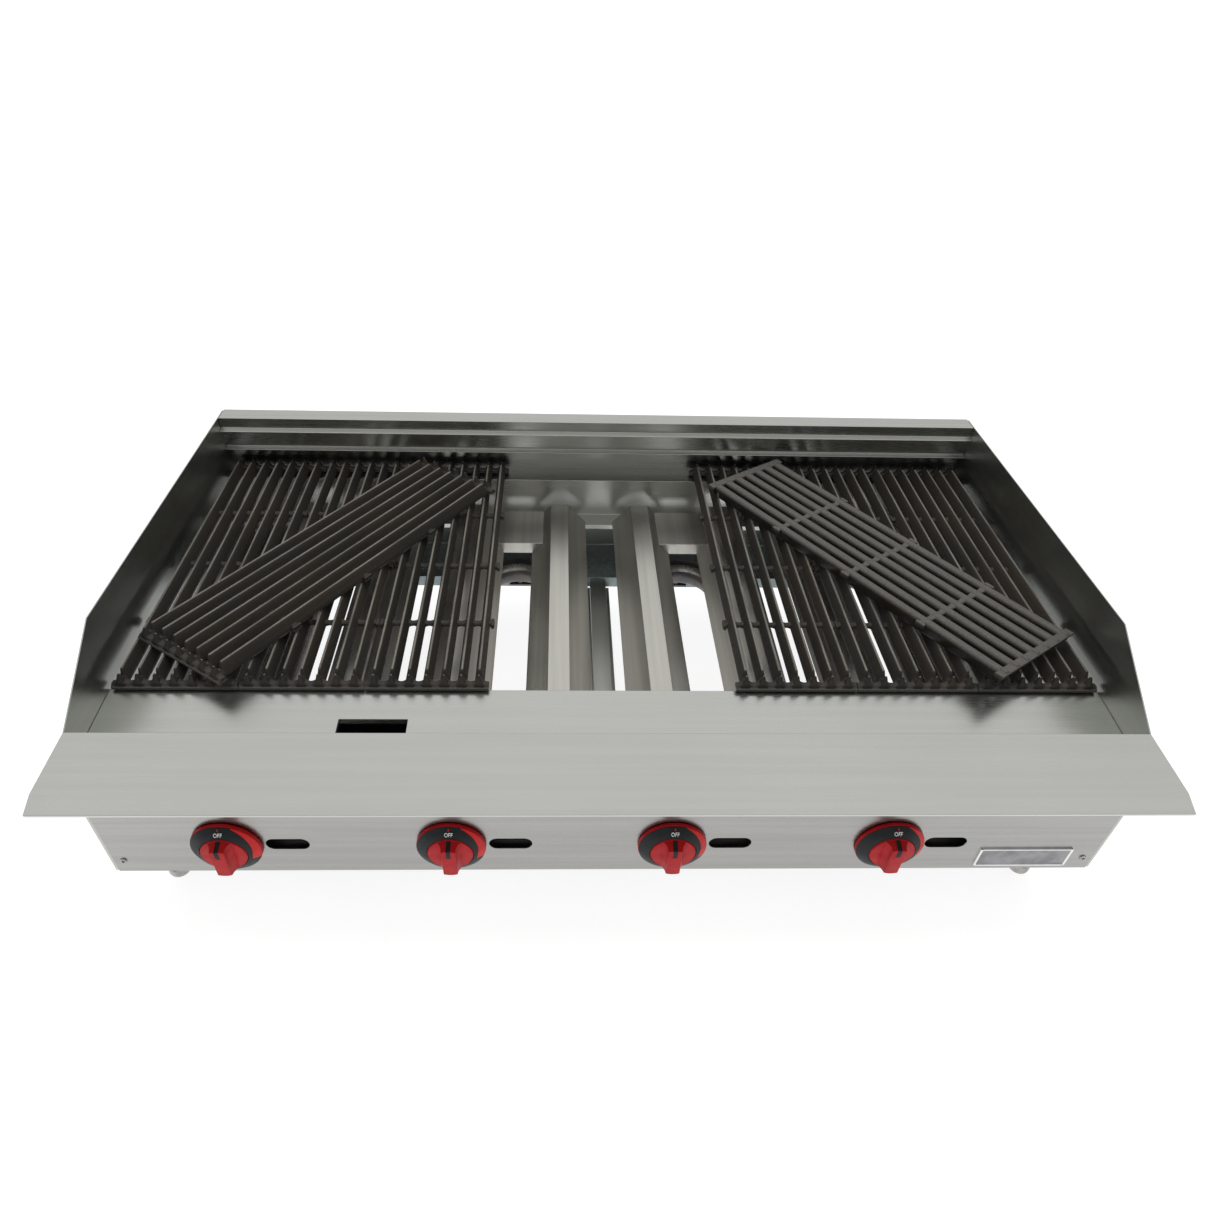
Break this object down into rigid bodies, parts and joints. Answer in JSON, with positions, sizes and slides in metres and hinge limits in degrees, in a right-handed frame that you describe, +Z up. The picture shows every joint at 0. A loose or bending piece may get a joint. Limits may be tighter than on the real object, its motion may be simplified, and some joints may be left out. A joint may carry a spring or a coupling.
{
  "type": "gas charbroiler",
  "caption": "Countertop gas charbroiler: stainless body, cast-iron grates over radiants and U burners, front ledge, grease trough, dial knobs, adjustable feet.",
  "frame": {"origin": "centre of the bounding box's base, on the plane the feet stand on", "axes": "+X to the right of a user at the front, +Y from the front ledge to the back, +Z up"},
  "size_m": [1.219, 0.78, 0.378],
  "materials": {
    "stainless": "brushed left to right",
    "radiant_stainless": "bright annealed",
    "galvanised": "satin grey zinc",
    "burner_steel": "heat darkened",
    "grate_iron": "seasoned cast iron",
    "pipe_black": "black pipe",
    "brass": "satin",
    "nameplate_chrome": "blank plate with polished edge",
    "knob_red": "satin gloss moulding",
    "dial_charcoal": "fine matte moulding",
    "foot_nickel": "nickel plated"
  },
  "bodies": {
    "root": {"left_side_panel": "stainless", "right_side_panel": "stainless", "rear_panel": "stainless", "upper_splash": "stainless", "middle_splash": "stainless", "rear_grate_shelf": "stainless", "rear_radiant_ledge": "stainless", "front_ledge": "stainless", "grease_trough": "stainless", "grease_chute": "stainless", "control_panel": "stainless", "nameplate": "nameplate_chrome", "front_heat_wall": "stainless", "rear_cross_member": "galvanised", "front_base_rail": "galvanised", "rear_base_rail": "galvanised", "centre_tray_guide": "stainless", "side_tray_guides": "galvanised", "gas_manifold": "pipe_black", "gas_supply_pipe": "pipe_black", "pilot_valves": "brass", "pilot_tubes": "brass", "burner_1": "burner_steel", "burner_2": "burner_steel", "burner_3": "burner_steel", "burner_4": "burner_steel", "valve_1": "brass", "valve_2": "brass", "valve_3": "brass", "valve_4": "brass", "leg_sockets": "foot_nickel", "screws": "foot_nickel"},
    "knob_body_1": {"knob_1": "knob_red", "knob_dial_1": "dial_charcoal", "valve_stem_1": "brass"},
    "knob_body_2": {"knob_2": "knob_red", "knob_dial_2": "dial_charcoal", "valve_stem_2": "brass"},
    "knob_body_3": {"knob_3": "knob_red", "knob_dial_3": "dial_charcoal", "valve_stem_3": "brass"},
    "knob_body_4": {"knob_4": "knob_red", "knob_dial_4": "dial_charcoal", "valve_stem_4": "brass"},
    "foot_body_1": {"foot_1": "foot_nickel"},
    "foot_body_2": {"foot_2": "foot_nickel"},
    "foot_body_3": {"foot_3": "foot_nickel"},
    "foot_body_4": {"foot_4": "foot_nickel"},
    "radiant_body_1": {"radiant_set_1": "radiant_stainless"},
    "radiant_body_2": {"radiant_set_2": "radiant_stainless"},
    "radiant_body_3": {"radiant_set_3": "radiant_stainless"},
    "radiant_body_4": {"radiant_set_4": "radiant_stainless"},
    "left_grate_bank": {"grate_1": "grate_iron", "grate_2": "grate_iron", "grate_3": "grate_iron"},
    "left_loose_grate": {"grate_7": "grate_iron"},
    "right_grate_bank": {"grate_4": "grate_iron", "grate_5": "grate_iron", "grate_6": "grate_iron"},
    "right_loose_grate": {"grate_8": "grate_iron"}
  },
  "joints": [
    {"name": "knob_1_turn", "type": "hinge", "parent": "root", "child": "knob_body_1", "pos_m": [-0.4605, -0.32, 0.156], "axis": [0, -1, 0], "range_deg": [0, 120]},
    {"name": "knob_2_turn", "type": "hinge", "parent": "root", "child": "knob_body_2", "pos_m": [-0.1945, -0.32, 0.156], "axis": [0, -1, 0], "range_deg": [0, 120]},
    {"name": "knob_3_turn", "type": "hinge", "parent": "root", "child": "knob_body_3", "pos_m": [0.0715, -0.32, 0.156], "axis": [0, -1, 0], "range_deg": [0, 120]},
    {"name": "knob_4_turn", "type": "hinge", "parent": "root", "child": "knob_body_4", "pos_m": [0.3375, -0.32, 0.156], "axis": [0, -1, 0], "range_deg": [0, 120]},
    {"name": "foot_1_extend", "type": "slide", "parent": "root", "child": "foot_body_1", "axis": [0, 0, -1], "range_m": [0, 0.025]},
    {"name": "foot_2_extend", "type": "slide", "parent": "root", "child": "foot_body_2", "axis": [0, 0, -1], "range_m": [0, 0.025]},
    {"name": "foot_3_extend", "type": "slide", "parent": "root", "child": "foot_body_3", "axis": [0, 0, -1], "range_m": [0, 0.025]},
    {"name": "foot_4_extend", "type": "slide", "parent": "root", "child": "foot_body_4", "axis": [0, 0, -1], "range_m": [0, 0.025]},
    {"name": "radiant_1_lift", "type": "slide", "parent": "root", "child": "radiant_body_1", "axis": [0, 0, 1], "range_m": [0, 0.03]},
    {"name": "radiant_2_lift", "type": "slide", "parent": "root", "child": "radiant_body_2", "axis": [0, 0, 1], "range_m": [0, 0.03]},
    {"name": "radiant_3_lift", "type": "slide", "parent": "root", "child": "radiant_body_3", "axis": [0, 0, 1], "range_m": [0, 0.03]},
    {"name": "radiant_4_lift", "type": "slide", "parent": "root", "child": "radiant_body_4", "axis": [0, 0, 1], "range_m": [0, 0.03]},
    {"name": "left_grate_bank_slide", "type": "slide", "parent": "root", "child": "left_grate_bank", "axis": [0, -1, 0], "range_m": [0, 0.072]},
    {"name": "left_loose_grate_lift", "type": "slide", "parent": "left_grate_bank", "child": "left_loose_grate", "axis": [0, 0, 1], "range_m": [0, 0.12]},
    {"name": "right_grate_bank_slide", "type": "slide", "parent": "root", "child": "right_grate_bank", "axis": [0, -1, 0], "range_m": [0, 0.072]},
    {"name": "right_loose_grate_lift", "type": "slide", "parent": "right_grate_bank", "child": "right_loose_grate", "axis": [0, 0, 1], "range_m": [0, 0.12]}
  ]
}
